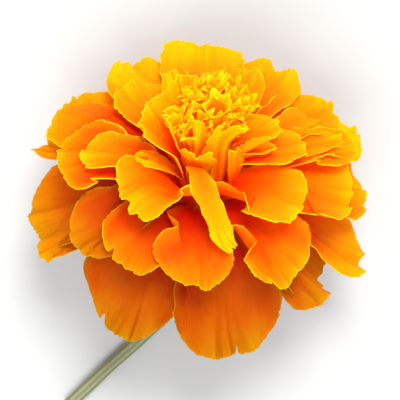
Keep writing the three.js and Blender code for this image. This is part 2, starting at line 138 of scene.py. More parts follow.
class Nodes:
    """A material's node tree, with its shader, and short ways to add and join nodes."""

    def __init__(self, name):
        self.material = bpy.data.materials.new(name)
        self.material.use_nodes = True
        self.tree = self.material.node_tree
        self.shader = self.tree.nodes["Principled BSDF"]

    def add(self, kind, **settings):
        node = self.tree.nodes.new("ShaderNode" + kind)
        for key, value in settings.items():
            setattr(node, key, value)
        return node

    def put(self, socket, value):
        if isinstance(value, bpy.types.NodeSocket):
            self.tree.links.new(value, socket)
        else:
            socket.default_value = value

    def value(self, name):
        return self.add("Attribute", attribute_name=name).outputs["Fac"]

    def maths(self, operation, a, b=0.0):
        node = self.add("Math", operation=operation)
        self.put(node.inputs[0], a)
        self.put(node.inputs[1], b)
        return node.outputs[0]

    def span(self, value, low, high, to_low=0.0, to_high=1.0):
        node = self.add("MapRange", clamp=True, interpolation_type="SMOOTHSTEP")
        for socket, number in zip(node.inputs, (value, low, high, to_low, to_high)):
            self.put(socket, number)
        return node.outputs[0]

    def mix(self, factor, a, b, blend="MIX"):
        node = self.add("Mix", data_type="RGBA", blend_type=blend)
        self.put(node.inputs[0], factor)
        self.put(node.inputs[6], a)
        self.put(node.inputs[7], b)
        return node.outputs[2]

    def noise(self, scale, detail=3.0, stretch=None, rough=0.55):
        node = self.add("TexNoise")
        node.inputs["Scale"].default_value = scale
        node.inputs["Detail"].default_value = detail
        node.inputs["Roughness"].default_value = rough
        if stretch is not None:
            self.put(node.inputs["Vector"], stretch)
        return node.outputs["Fac"]

    def join(self, x, y, z=0.0):
        node = self.add("CombineXYZ")
        for socket, value in zip(node.inputs, (x, y, z)):
            self.put(socket, value)
        return node.outputs[0]

    def bump(self, height, distance, strength=1.0):
        node = self.add("Bump")
        node.inputs["Distance"].default_value = distance
        node.inputs["Strength"].default_value = strength
        self.put(node.inputs["Height"], height)
        self.put(self.shader.inputs["Normal"], node.outputs[0])


def linear(red, green, blue):
    """A colour as it is seen on a screen, 0 to 255, for a shader's socket."""
    return tuple(c / 255 / 12.92 if c <= 10 else ((c / 255 + 0.055) / 1.055) ** 2.4
                 for c in (red, green, blue)) + (1.0,)


def smooth_path(points, steps):
    """A curve through the points, as Catmull and Rom draw it, with its two ends kept."""
    points = np.array(points, dtype=float)
    points = np.vstack([2 * points[0] - points[1], points, 2 * points[-1] - points[-2]])
    out = []
    for i in range(1, len(points) - 2):
        a, b, c, d = points[i - 1:i + 3]
        t0, t1 = 0.0, np.linalg.norm(b - a) ** 0.5
        t2 = t1 + np.linalg.norm(c - b) ** 0.5
        t3 = t2 + np.linalg.norm(d - c) ** 0.5
        for t in np.linspace(t1, t2, steps, endpoint=False):
            p = (t1 - t) / (t1 - t0) * a + (t - t0) / (t1 - t0) * b
            q = (t2 - t) / (t2 - t1) * b + (t - t1) / (t2 - t1) * c
            r = (t3 - t) / (t3 - t2) * c + (t - t2) / (t3 - t2) * d
            pq = (t2 - t) / (t2 - t0) * p + (t - t0) / (t2 - t0) * q
            qr = (t3 - t) / (t3 - t1) * q + (t - t1) / (t3 - t1) * r
            out.append((t2 - t) / (t2 - t1) * pq + (t - t1) / (t2 - t1) * qr)
    out.append(points[-2])
    return np.array(out)


def swept(path, outline):
    """Rings of points round a path. outline gives the radius for (way along, angles)."""
    tangent = np.gradient(path, axis=0)
    tangent /= np.linalg.norm(tangent, axis=1, keepdims=True)
    side = np.cross(tangent[0], (0.0, 0.0, 1.0))
    length = np.concatenate([[0], np.cumsum(np.linalg.norm(np.diff(path, axis=0), axis=1))])
    angles = np.linspace(0, 2 * math.pi, STEM_SIDES, endpoint=False)
    rings = []
    for i, centre in enumerate(path):
        side = side - side.dot(tangent[i]) * tangent[i]
        side /= np.linalg.norm(side)
        over = np.cross(tangent[i], side)
        radius = outline(length[i], angles)[:, None]
        rings.append(centre + radius * (np.cos(angles)[:, None] * side
                                        + np.sin(angles)[:, None] * over))
    return np.array(rings), length


# The CAD stalk's lowest and highest corners at rest.
stem_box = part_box("peduncle")
stem_top = place(np.array([0, 0, CUP_FOOT])) / MM
stem_way = -laid[:, 2]
# The path is given for a mouth that is MOUTH_HEIGHT above the surface, and moves with it.
shift = mouth / MM - np.array([0, 0, MOUTH_HEIGHT])
stem_path = smooth_path([
    stem_top - 0.4 * stem_way,
    stem_top + 5 * stem_way,
    np.array([4.4, 21.4, 3.8]) + shift,
    np.array([10.2, 27.2, 1.7]) + shift,
    np.array([16.9, 33.2, 1.35]) + shift,
    np.array([24.8, 40.6, STEM_RADIUS]) + shift,
], STEM_STEPS)


def stem_outline(length, angles):
    """The radius: swollen at the neck, ribbed all round and a little uneven along the stem."""
    swell = max(0.0, 1 - length / STEM_NECK_LENGTH) ** 2
    ribs = 1 + STEM_RIB_DEPTH * np.cos(STEM_RIBS * angles) * (1 - 0.4 * swell)
    wander = 1 + STEM_WANDER * math.sin(length * 0.55)
    radius = STEM_RADIUS * wander + (STEM_NECK_RADIUS - STEM_RADIUS) * swell
    return radius * ribs * STEM_SLIMMING


rings, stem_length = swept(stem_path, stem_outline)
columns = rings.shape[1]
# Smaller rings and a middle point close the flat cut face; a middle point closes the neck.
cut_middle = rings[-1].mean(0)
cut_face = [cut_middle + (rings[-1] - cut_middle) * share for share in CUT_RINGS]
stem_points = np.vstack([rings.reshape(-1, 3), *cut_face, rings[0].mean(0)[None],
                         cut_face[-1].mean(0)[None]])
row_count = len(rings) + len(CUT_RINGS)
stem_faces = grid_faces(row_count, columns, closed=True)
first, last = len(stem_points) - 2, len(stem_points) - 1
stem_faces += [(first, (j + 1) % columns, j) for j in range(columns)]
ring_start = (row_count - 1) * columns
stem_faces += [(last, ring_start + j, ring_start + (j + 1) % columns) for j in range(columns)]
peduncle = new_object("stem", stem_points * MM, stem_faces)
# The way along runs from 0 to 1 over the skin, and is more than 1 on the cut face.
way = np.repeat(stem_length / stem_length[-1], columns)
cut_points = len(CUT_RINGS) * columns
point_value(peduncle, "way", np.concatenate([way, np.full(cut_points, CUT_FACE), [0.0, CUT_FACE]]))
rib = np.cos(STEM_RIBS * np.linspace(0, 2 * math.pi, columns, endpoint=False))
point_value(peduncle, "rib", np.concatenate([np.tile(rib, len(rings)), np.zeros(cut_points + 2)]))

bark = Nodes("stem_skin")
green = bark.mix(bark.span(bark.value("rib"), -1, 1), linear(104, 116, 72),
                 linear(140, 152, 110))
flush = bark.span(bark.noise(120, 3), 0.42, 0.68, 0.1, 0.6)
green = bark.mix(flush, green, linear(138, 112, 88))
green = bark.mix(bark.span(bark.value("way"), 1.05, 1.15), green, linear(196, 208, 160))
bark.put(bark.shader.inputs["Base Color"], green)
bark.shader.inputs["Roughness"].default_value = 0.5
bark.bump(bark.noise(2600, 2), 0.00008, 0.6)
peduncle.data.materials.append(bark.material)
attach(peduncle, "root")
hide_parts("peduncle")


# ---------------------------------------------------------------------------
# Involucre: the green cup. Its bracts have grown together edge to edge into a ribbed tube with
# long dark oil glands, and their free tips stand as teeth round the mouth.
CUP_TEETH = 8
CUP_TOOTH = 1.8
CUP_TOOTH_FLARE = 0.42
CUP_KEEL = 0.10
CUP_SEAM = 0.12
CUP_SEAM_WIDTH = 0.16
CUP_SIDES = 96
CUP_MOUTH = -0.2
# Radius and height of the cup's section, from its foot up the outside and down the inside.
CUP_OUTSIDE = [(0.0, -16.2), (1.1, -16.18), (2.0, -16.05), (2.7, -15.6), (3.3, -14.9),
               (4.2, -13.4), (5.1, -11.6), (5.8, -9.2), (6.3, -6.6), (6.45, -4.2), (6.4, -2.0),
               (6.3, -0.7), (6.3, CUP_MOUTH)]
CUP_INSIDE = [(5.85, CUP_MOUTH), (5.8, -0.7), (5.85, -2.4), (5.85, -6.0), (4.8, -11.2),
              (2.6, -14.3), (0.0, -14.4)]
cup_angles = np.linspace(0, 2 * math.pi, CUP_SIDES, endpoint=False)
# 1 down the middle of each bract, and 0 along the seams between them.
bract_middle = np.abs(np.cos(CUP_TEETH / 2 * cup_angles))
cup_rows = []
cup_height = []
for k, (radius, height) in enumerate(CUP_OUTSIDE + CUP_INSIDE):
    lift = CUP_TOOTH * (height == CUP_MOUTH) * bract_middle ** 1.3
    seam = -CUP_SEAM * np.exp(-(bract_middle / CUP_SEAM_WIDTH) ** 2)
    keel = CUP_KEEL * bract_middle ** 6
    ripple = (seam + keel) * (k < len(CUP_OUTSIDE)) * min(1.0, radius / 4)
    out = radius + CUP_TOOTH_FLARE * lift + ripple
    cup_rows.append(np.stack([out * np.cos(cup_angles), out * np.sin(cup_angles),
                              height + lift], -1))
    cup_height.append(np.full(CUP_SIDES, height))
cup_points = np.concatenate(cup_rows)
cup = new_object("cup_of_bracts", place(cup_points), grid_faces(len(cup_rows), CUP_SIDES, True))
point_value(cup, "height", np.concatenate(cup_height))
point_value(cup, "round", np.tile(cup_angles / (2 * math.pi), len(cup_rows)))
point_value(cup, "tooth", np.tile(bract_middle, len(cup_rows)))

bract = Nodes("bract_skin")
skin = bract.mix(bract.noise(240, 4), linear(84, 112, 46), linear(120, 146, 70))
skin = bract.mix(bract.span(bract.value("tooth"), 0.0, 0.22, 0.75, 0.0), skin,
                 linear(64, 84, 40))
skin = bract.mix(bract.span(bract.value("height"), -2.5, CUP_MOUTH, 0.0, 0.6), skin,
                 linear(120, 96, 58))
cells = bract.add("TexVoronoi", feature="DISTANCE_TO_EDGE")
cells.inputs["Scale"].default_value = 1.0
bract.put(cells.inputs["Vector"], bract.join(bract.maths("MULTIPLY", bract.value("round"), 40.0),
                                             bract.maths("MULTIPLY", bract.value("height"), 0.34)))
gland = bract.span(cells.outputs["Distance"], 0.28, 0.42)
skin = bract.mix(bract.maths("MULTIPLY", gland, 0.7), skin, linear(92, 66, 22))
bract.put(bract.shader.inputs["Base Color"], skin)
bract.shader.inputs["Roughness"].default_value = 0.42
bract.bump(bract.maths("ADD", bract.noise(1800, 3), gland), 0.0001, 0.7)
cup.data.materials.append(bract.material)
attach(cup, "root")
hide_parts("involucre")


# ---------------------------------------------------------------------------
# Ovaries: the florets' dark seeds-to-be and pale bristles, packed upright in the cup. Only their
# tops show, between the florets' claws, so the CAD solid stays and gets a fibrous skin.
FIBRE_SCALE = (4000, 4000, 600)
pith = Nodes("ovary_fibres")
along_axis = pith.add("TexCoord").outputs["Object"]
streaks = pith.add("Mapping")
streaks.inputs["Scale"].default_value = FIBRE_SCALE
pith.put(streaks.inputs["Vector"], along_axis)
fibres = pith.noise(1.0, 4, streaks.outputs[0])
pith.put(pith.shader.inputs["Base Color"],
         pith.mix(pith.span(fibres, 0.35, 0.65), linear(170, 44, 4), linear(214, 84, 8)))
pith.shader.inputs["Roughness"].default_value = 0.8
pith.bump(fibres, 0.0002)
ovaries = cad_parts["ovaries"]
ovaries.data.materials.clear()
ovaries.data.materials.append(pith.material)


# ---------------------------------------------------------------------------
# Ray florets: the petals. Each is one thin, soft, fan-shaped blade that narrows to a claw, ribbed
# lengthwise, with a wavy side edge and a scalloped tip. The claws stand in rings in the cup's
# mouth and the blades bend over one another, steep near the crest and hanging at the outside.
RING_RADII = [5.1, 4.3, 3.5, 2.75, 2.0]
CLAW_HALF_WIDTH = 0.5
PETAL_THICKNESS = 0.16
FLOOR_BEND = 1.2
FLOOR_CLEAR = 0.08
ACROSS = 72
ALONG = 40
MIDLINE_STEPS = 200
SECTION_STEPS = 24
# A full turn, near enough for the random phase of a wave.
ANY_PHASE = 6.28
PETAL_SEED = 100


def floret(name, compass, reach, height, lean, width, ring, **more):
    """One blade: the compass angle, reach and height of its tip, how far it leans from upright
    there, its full width, and its ring of claws. More can change its outline (widest, flare,
    taper, round, square, slant, skew, notches, bites), its run (start, rise, tail, shift, swirl,
    bow, late), its bends (cup, claw_cup, roll, fold, hem, dents, ruffle) and its colour, partly
    painted light and shade (tone, halves, shade, ember). A notch is its place across, depth and
    width; a bite its side, place along, depth and width; a dent its place across, place along,
    push and width; a hem its width, angle, side, start and end; and for ember, a streak of painted
    shade, its place across, width and end. Lengths are in mm and angles in degrees. Where a trait
    lies is given as a share of the blade, -1 to 1 across and 0 to 1 along, and so are the widths
    of notches, bites, dents and ember streaks."""
    return dict(name=name, compass=compass, reach=reach, height=height, lean=lean, width=width,
                ring=ring, **more)


# Tone is partly a blade's own colour and partly painted light and shade: blades in shade are given
# low tones and lit ones high.
# Name, compass, reach, height, lean, width and ring, and then each blade's own traits.
florets = [
    floret("low_1", 291, 27.3, -13, 128, 19.5, 0, tone=0.25, widest=0.64, round=0.24, square=3.2,
           notches=[(0.22, 1.5, 0.018)], roll=0, shade=0.95),
    floret("low_2", 249, 26.2, -13.5, 126, 19, 0, tone=0.2, widest=0.55, round=0.36, square=2.2,
           skew=-0.16, notches=[(-0.42, 1.8, 0.035)], roll=-4, shade=1.0),
    floret("low_3", 339.5, 26.8, -10.8, 118, 23, 0, tone=0.3, notches=[(-0.5, 1.6, 0.05)],
           round=0.24, roll=-12, shade=0.85, slant=0.07, skew=0.08),
    floret("low_4", 189.5, 28.9, -9.4, 116, 18, 0, tone=0.35, round=0.28, square=3.2, widest=0.62,
           roll=-15, shade=0.82, slant=0.04, skew=-0.04, ruffle=0.7),
    floret("low_5", 203, 28.4, -10, 118, 11, 0, tone=0.45, round=0.36, square=2.2, shade=0.7),
    floret("low_6", 353, 31.8, -9.5, 112, 13, 0, tone=0.6, round=0.14, shade=0.35, roll=-4,
           slant=0.06, skew=0.36),
    floret("low_7", 16, 31.7, -3, 104, 19, 0, round=0.14, tone=0.4, roll=3, slant=-0.03,
           ruffle=0.6),
    floret("low_8", 169, 31.6, -1, 98, 8, 0, round=0.9, square=1.5, tone=0.5, shade=0.6),
    floret("back_1", 50, 27, -12, 124, 17, 0),
    floret("back_2", 76, 26, -13, 127, 18, 0),
    floret("back_3", 104, 26, -13, 127, 18, 0),
    floret("back_4", 134, 27, -12, 124, 17, 0),
    floret("back_5", 63, 30, -4, 108, 17, 0),
    floret("back_6", 92, 30, -4, 108, 17, 0),
    floret("back_7", 120, 30, -4, 108, 17, 0),
    floret("mid_1", 276, 23.7, 3, 112, 14, 1, tone=0.3, widest=0.85, flare=0.8, round=0.2,
           ruffle=0.9, slant=-0.05, shade=0.4, skew=-0.15, bites=[(-1, 0.72, 3.0, 0.09)],
           claw_cup=34, cup=10, ember=(-0.15, 0.5, 0.75)),
    floret("mid_2", 244, 22.4, 0.4, 112, 14.4, 1, tone=0.3, round=0.26,
           notches=[(-0.5, 1.6, 0.05)], shade=0.4, flare=0.7, claw_cup=40, skew=-0.14,
           ember=(0.2, 0.5, 0.7)),
    floret("mid_3", 316, 26.2, 2, 108, 14.4, 1, tone=0.46, round=0.16, slant=0.06, shade=0.15,
           flare=0.8, skew=0.1, hem=(2.7, 160, -1, 0.42, 0.7), notches=[(-0.8, 1.6, 0.05)],
           claw_cup=34, ember=(-0.1, 0.5, 0.75)),
    floret("mid_4", 219, 24.6, -1.8, 112, 12.4, 1, tone=0.25, skew=-0.1, roll=-16, shade=0.8,
           flare=0.9),
    floret("mid_5", 4, 28, 2, 100, 22.5, 1, round=0.26, slant=-0.06, roll=-4, square=2.6,
           skew=-0.02),
    floret("mid_6", 33, 33.4, 2, 95, 14, 1, round=0.16, tone=1.0),
    floret("mid_7", 26, 30.5, 5, 90, 9.5, 2, skew=-0.2, round=0.14, tone=0.5),
    floret("mid_8", 179, 24.8, 5, 100, 15, 1, tone=0.3, round=0.16, roll=-12, skew=0.12,
           bites=[(-1, 0.66, 1.4, 0.08)], ruffle=0.8),
    floret("mid_9", 160, 29.5, -1, 98, 12, 1, tone=0.5),
    floret("mid_10", 46, 32.5, 3.8, 86, 12, 1, round=0.14, skew=-0.1, tone=0.65),
    floret("mid_11", 66, 31.0, 7, 82, 12.5, 1, round=0.14, notches=[(0.05, 1.6, 0.12)], tone=0.62),
    floret("mid_12", 95, 30.6, 8, 80, 16, 1, round=0.06, square=4, slant=-0.02, ruffle=0.5,
           tone=0.85),
    floret("mid_13", 123, 30.3, 6, 84, 16, 1, tone=0.85, round=0.3),
    floret("mid_14", 146, 30.2, 3, 88, 12, 1, round=0.3, tone=0.5),
    floret("high_1", 227, 17.8, 10, 105, 12.5, 2, tone=0.56, round=0.1, slant=-0.08, ruffle=0.8,
           skew=0.06, notches=[(0.2, 0.9, 0.07), (0.62, 0.8, 0.08)],
           dents=[(1.0, 0.58, 2.6, 0.07)], flare=0.7, claw_cup=40),
    floret("high_2", 275.5, 20.6, 8.3, 112, 4.1, 3, shift=-14, swirl=17, bow=8, rise=20, tail=13,
           late=1.4, flare=1.35, cup=-26, claw_cup=-20, round=0.12, square=3, widest=0.62,
           taper=0.12, tone=0.85, roll=0, ruffle=0.7),
    floret("high_3", 335, 20.3, 9.4, 100, 14, 2, round=0.12, slant=0.04, roll=-4, skew=-0.12,
           flare=0.75, notches=[(-0.2, 0.8, 0.08)], hem=(2.9, 155, -1, 0.32, 0.6), tone=0.56,
           claw_cup=40, ember=(0.2, 0.6, 0.6)),
    floret("high_4", 27, 28.0, 5.8, 90, 6.5, 2, skew=0.15, round=0.3, tone=0.66),
    floret("high_5", 185, 21.2, 8, 92, 9, 2, tone=0.6, round=0.2, square=2.4, slant=-0.02,
           notches=[(0.45, 0.9, 0.12)]),
    floret("high_6", 157, 28, 7, 90, 14, 2, fold=-36, skew=0.12, slant=-0.06, round=0.08, roll=0,
           ruffle=0.5, tone=0.25, shade=0.2),
    floret("high_7", 77, 22.4, 12, 74, 12, 2, tone=0.62, round=0.16),
    floret("high_8", 133, 21.8, 9, 76, 12, 2, tone=0.6, round=0.16),
    floret("high_9", 172, 10.9, 17, 52, 12.5, 3, cup=8, tone=0.6, round=0.04, roll=0, fold=8),
    floret("high_10", 21, 13.8, 16, 68, 9.5, 4, tone=0.65, hem=(1.8, 150, -1, 0.3, 2.0),
           skew=-0.1),
    floret("high_11", 13, 18.5, 12, 80, 9, 3, tone=0.5, round=0.16, ember=(-0.5, 0.7, 0.8)),
    floret("high_12", 118, 15.6, 16, 60, 7.5, 3, tone=0.9, cup=30),
    floret("high_13", 114, 11.6, 18.5, 40, 9, 3, tone=0.75, hem=(2.0, 140, -1, 0.3, 2.0), cup=30,
           round=0.12),
    floret("crest_1", 262, 5.9, 16.1, 34, 7, 4, cup=36, round=0.06, slant=-0.17,
           notches=[(0.1, 0.9, 0.3)], ruffle=0.6, tone=1.3, skew=-0.06),
    floret("crest_2", 338, 7.2, 20.6, 48, 7.0, 3, fold=24, roll=-30, cup=4, tone=1.35, flare=0.7,
           widest=0.8, round=0.1, slant=0.07, ruffle=0.4, start=34, rise=9, tail=9, skew=0.3,
           claw_cup=30, ember=(-0.5, 0.34, 1.0)),
    floret("crest_3", 4, 12.6, 13.5, 65, 5, 4, fold=50, tone=0.3, ember=(0, 1, 0.8)),
    floret("crest_4", 244, 3.4, 21.2, 10, 6.0, 4, fold=52, roll=20, skew=-0.1, round=0.3,
           tone=1.35, halves=-0.35, ruffle=0.5),
    floret("crest_5", 179, 7.4, 19, 22, 8.5, 4, cup=60, claw_cup=80, round=0.12, tone=0.9),
    floret("crest_6", 322, 3.8, 21.0, 8, 4.6, 4, cup=24, round=0.2, tone=1.3, ruffle=0.5),
    floret("crest_7", 200.5, 12.4, 11.3, 74, 4.4, 3, tone=1.6),
    floret("crest_8", 340, 5.8, 14.8, -8, 4.6, 3, roll=-30, start=76, rise=5, tail=9,
           hem=(1.1, 120, -1, 0.3, 2.0), cup=10, ruffle=0.8, tone=0.5, flare=0.7, round=0.2),
]

for ring, radius in enumerate(RING_RADII):
    members = sorted((f for f in florets if f["ring"] == ring), key=lambda f: f["compass"])
    step = 360 / len(members)
    turned = sum(f["compass"] - i * step for i, f in enumerate(members)) / len(members)
    for i, f in enumerate(members):
        f["foot"] = turned + i * step + f.get("shift", 0)
        f["foot_radius"] = radius


def midline(f, t):
    """Distance from the axis and height of the blade's middle, and its length. t runs from 0 at
    the mouth to 1 at the tip. The middle is a curve with its two ends and their slopes given."""
    # Unless it is given, a blade starts flatter the further out and the lower it stands.
    start = math.radians(f.get("start", max(2, 46 - 11 * f["ring"] - max(0, f["height"]) * 1.6)))
    lean = math.radians(f["lean"])
    root = np.array([f["foot_radius"], 0.0])
    tip = np.array([f["reach"], f["height"]], dtype=float)
    chord = np.linalg.norm(tip - root)
    rise = f.get("rise", chord * (0.42 if f["ring"] == 0 else 0.5))
    tail = f.get("tail", chord * 0.4)
    one = root + rise * np.array([math.sin(start), math.cos(start)])
    two = tip - tail * np.array([math.sin(lean), math.cos(lean)])
    k = np.linspace(0, 1, MIDLINE_STEPS)[:, None]
    fine = ((1 - k) ** 3 * root + 3 * (1 - k) ** 2 * k * one + 3 * (1 - k) * k * k * two
            + k ** 3 * tip)
    far = np.concatenate([[0], np.cumsum(np.linalg.norm(np.diff(fine, axis=0), axis=1))])
    length = far[-1]
    end = (fine[-1] - fine[-2]) / np.linalg.norm(fine[-1] - fine[-2])
    past = np.clip(t - 1, 0, None) * length
    t = np.clip(t, 0, 1) * length
    return (np.interp(t, far, fine[:, 0]) + past * end[0],
            np.interp(t, far, fine[:, 1]) + past * end[1], length)


def waves(u, rng, count, low, high):
    """A sum of a few cosines of u with seeded phases, within about -1 and 1."""
    total = np.zeros_like(u)
    for _ in range(count):
        total += np.cos(rng.uniform(low, high) * u + rng.uniform(0, 2 * math.pi))
    return total / count ** 0.7


def petal(f, seed):
    """One blade as a grid of points, with its thickness, and the values that its skin reads."""
    rng = np.random.RandomState(seed)
    u = np.linspace(-1, 1, ACROSS + 1)
    # Steps are closer together near the tip, where the scallops are.
    v = 1 - (1 - np.linspace(0, 1, ALONG + 1)) ** 1.3
    u, v = np.meshgrid(u, v)
    length = midline(f, np.zeros(1))[2]
    side_share = np.where(u > 0, 1 + f.get("skew", 0), 1 - f.get("skew", 0))

    # The tip has round shoulders, a few broad lobes, fine teeth and here and there a slit.
    tip_cut = f.get("round", 0.26) * np.abs(u) ** f.get("square", 2.8) + f.get("slant", 0) * u
    scallop = 0.34 * (1 - np.abs(np.cos(rng.uniform(2.6, 3.6) * math.pi / 2 * u
                                        + rng.uniform(0, 3)))) ** 1.5
    scallop += 0.30 * waves(u, rng, 2, 2.5, 5)
    scallop += 0.15 * waves(u * f["width"] / 2, rng, 4, 3.5, 9.5)
    tip_cut = tip_cut + scallop / length * np.clip((v - 0.3) / 0.7, 0, 1) ** 2
    for where, depth, wide in f.get("notches", ()):
        tip_cut = tip_cut + depth / length * np.exp(-((u - where) / wide) ** 2) * v ** 3
    w = v * (1 - tip_cut)

    swing = math.radians((f["compass"] - f["foot"] + 180) % 360 - 180)

    def centre(t):
        r, z, _ = midline(f, t)
        angle = (math.radians(f["foot"])
                 + swing * (t ** f["late"] if "late" in f else np.clip(t * 1.6, 0, 1) ** 0.8)
                 + math.radians(f.get("swirl", 0)) * t ** 2
                 + math.radians(f.get("bow", 0)) * np.sin(math.pi * np.clip(t, 0, 1) ** 1.9) ** 2)
        return np.stack([r * np.cos(angle), r * np.sin(angle), z], -1)

    spot = centre(w)
    along = centre(np.clip(w, 0, None) + 0.02) - centre(np.clip(w - 0.02, 0, None))
    along /= np.linalg.norm(along, axis=-1, keepdims=True)
    side = np.stack([-spot[..., 1], spot[..., 0], 0 * w], -1)
    side -= (side * along).sum(-1, keepdims=True) * along
    side /= np.linalg.norm(side, axis=-1, keepdims=True)
    face = np.cross(along, side)
    roll = math.radians(f.get("roll", rng.uniform(-7, 7))) * w[..., None]
    side, face = (side * np.cos(roll) + face * np.sin(roll),
                  face * np.cos(roll) - side * np.sin(roll))

    # Across the blade: a gutter at the claw that opens to a shallow dish.
    widest = f.get("widest", 0.72)
    flare = f.get("flare", 1.1)
    spread = np.where(w < widest, 1 - (1 - np.clip(w / widest, 0, 1) ** flare) ** 1.6,
                      1 - f.get("taper", 0.1) * np.clip((w - widest) / (1 - widest), 0, 1) ** 2)
    if flare < 1:
        # A blade that widens at once still keeps a narrow claw.
        spread = spread * (0.25 + 0.75 * np.clip((w - 0.03) / 0.16, 0, 1))
    half = (CLAW_HALF_WIDTH + (f["width"] / 2 - CLAW_HALF_WIDTH) * spread) * side_share
    teeth = 0.13 * waves(v * length, rng, 4, 3.5, 9) + 0.25 * waves(v * length, rng, 2, 0.7, 1.5)
    for which, far_out, deep, wide in f.get("bites", ()):
        # A place where one side edge draws in, as if bitten.
        half = half - deep * (np.sign(u) == which) * np.exp(-((v - far_out) / wide) ** 2)
    reach_out = half * np.abs(u) + teeth * np.abs(u) ** 4 * np.clip(w * 2.5 - 0.4, 0, 1)
    claw_cup = f.get("claw_cup", 70)
    bend = np.radians(claw_cup - (claw_cup - f.get("cup", 14)) * np.clip(w, 0, 1) ** 0.7)
    bend = np.where(np.abs(bend) < 0.02, 0.02, bend) / half
    if "hem" in f:
        # One side's hem turns up with a tighter bend, over its last few millimetres.
        hem, hem_angle, hem_side, hem_from, hem_to = f["hem"]
        tight = (np.clip((w - hem_from) / 0.15, 0, 1) * np.clip((hem_to - w) / 0.07, 0, 1)
                 * (np.sign(u) == hem_side))
        hem_turn = math.radians(hem_angle) * tight
        hem_start = np.maximum(half - hem, 0.3 * half)
    # The section is integrated along its arc, so that it can bend and hem without stretching.
    over = np.zeros_like(u)
    up = np.zeros_like(u)
    for k in range(SECTION_STEPS):
        part = (k + 0.5) / SECTION_STEPS
        angle = bend * reach_out * part
        if "hem" in f:
            past_hem = (reach_out * part - hem_start) / (0.4 * hem)
            angle = angle + hem_turn * np.clip(past_hem, 0, 1)
        if "fold" in f:
            angle = angle + math.radians(f["fold"]) * np.clip(reach_out * part / 0.5, 0, 1)
        over += np.cos(angle) * reach_out / SECTION_STEPS
        up += np.sin(angle) * reach_out / SECTION_STEPS
    over = over * np.sign(u)

    size = (f["width"] / 14) ** 0.7
    ruffle = f.get("ruffle", 1.0) * size
    # Slow waves cross the whole blade. Quick ones run round its free edge like a frill, about a
    # middle that lies 0.42 of the way out.
    up = up + ruffle * 0.5 * w ** 1.5 * np.sin(rng.uniform(1.4, 2.4) * u
                                               + rng.uniform(0, ANY_PHASE))
    round_edge = np.arctan2(u, v - 0.42)
    rim_way = np.clip(np.maximum(np.abs(u), (v - 0.42) / 0.58), 0, 1)
    frill = 0
    for high, slowest, quickest, to_rim in ((0.8, 4.0, 5.5, 2.4), (0.6, 9, 12, 4),
                                            (0.16, 18, 24, 5)):
        frill = frill + high * np.sin(rng.uniform(slowest, quickest) * round_edge
                                      + rng.uniform(0, ANY_PHASE)) * rim_way ** to_rim
    up = up + ruffle * frill * np.clip(w * 1.6, 0, 1) ** 2
    # A few places where the blade is pushed up or down.
    for where, far_out, push, wide in f.get("dents", ()):
        up = up + push * np.exp(-((u - where) ** 2 + (v - far_out) ** 2) / wide ** 2)
    ribs = np.cos(rng.uniform(13, 16) * u + rng.uniform(0, ANY_PHASE))
    up = up + 0.02 * ribs * np.clip(w * 2, 0, 1)
    points = spot + side * over[..., None] + face * up[..., None]

    # Below the mouth the claw runs straight down to the ovaries.
    foot = points[0] + np.array([0, 0, -0.9])
    points = np.concatenate([foot[None], points])
    placed = place(points.reshape(-1, 3)).reshape(points.shape)
    # A blade that comes down to the surface bends and lies along it.
    low = PETAL_THICKNESS / 2 * MM + FLOOR_CLEAR * MM
    bend_z = FLOOR_BEND * MM
    above = placed[..., 2] - low
    placed[..., 2] = np.where(above < -bend_z, low,
                              np.where(above < bend_z, low + (above + bend_z) ** 2 / (4 * bend_z),
                                       placed[..., 2]))
    made = new_object("petal_" + f["name"], placed.reshape(-1, 3),
                      grid_faces(len(placed), ACROSS + 1))
    edge = np.minimum((1 - np.abs(u)) * half, (1 - v) * length * (1 - 0.8 * np.abs(u) ** 6))
    point_value(made, "edge", np.concatenate([edge[:1], edge]))
    point_value(made, "along", np.concatenate([w[:1], w]))
    point_value(made, "across", np.concatenate([(u * half)[:1], u * half]))
    point_value(made, "fan", np.concatenate([u[:1], u]))
    # Painted light and shade: unless it is given, a blade's tone makes those on the crest's far
    # side, where the light falls, the yellowest, and those below the mouth, in shade, the darkest.
    sunny = 0.55 + 0.3 * math.sin(math.radians(f["compass"])) + 0.006 * f["height"]
    tone = f.get("tone", sunny) + rng.uniform(-0.05, 0.05)
    # Painted light: one half of a blade is made yellower and the other more orange, as one side is
    # lit and the other in shade.
    tone = tone + f.get("halves", 0) * np.tanh(6 * u)
    point_value(made, "tone", np.concatenate([tone[:1], tone]))
    # Painted shade: a redder streak runs up some blades from the claw, along a valley where shade
    # falls; it is partly the claw's own deeper colour.
    streak, streak_wide, streak_end = f.get("ember", (0, 1, -1))
    ember = np.exp(-((u - streak) / streak_wide) ** 2) * np.clip((streak_end - v) / 0.4, 0, 1)
    point_value(made, "ember", np.concatenate([ember[:1], ember]))
    point_value(made, "own", np.full(len(placed) * (ACROSS + 1), rng.uniform(0, 50)))
    point_value(made, "shade", np.full(len(placed) * (ACROSS + 1), f.get("shade", 0.0)))
    thick = made.modifiers.new("thickness", "SOLIDIFY")
    thick.thickness = PETAL_THICKNESS * MM
    thick.offset = 0
    thick.use_even_offset = False
    return made


blade = Nodes("petal_skin")
edge = blade.value("edge")
way = blade.value("along")
tone = blade.value("tone")
across = blade.value("across")
fan = blade.value("fan")
own = blade.value("own")
patch = blade.noise(1.0, 3, blade.join(blade.maths("MULTIPLY", across, 0.22),
                                       blade.maths("MULTIPLY", way, 3.0), own))
vein = blade.noise(1.0, 2, blade.join(blade.maths("MULTIPLY", fan, 16.0),
                                      blade.maths("MULTIPLY", way, 1.6), own), rough=0.5)
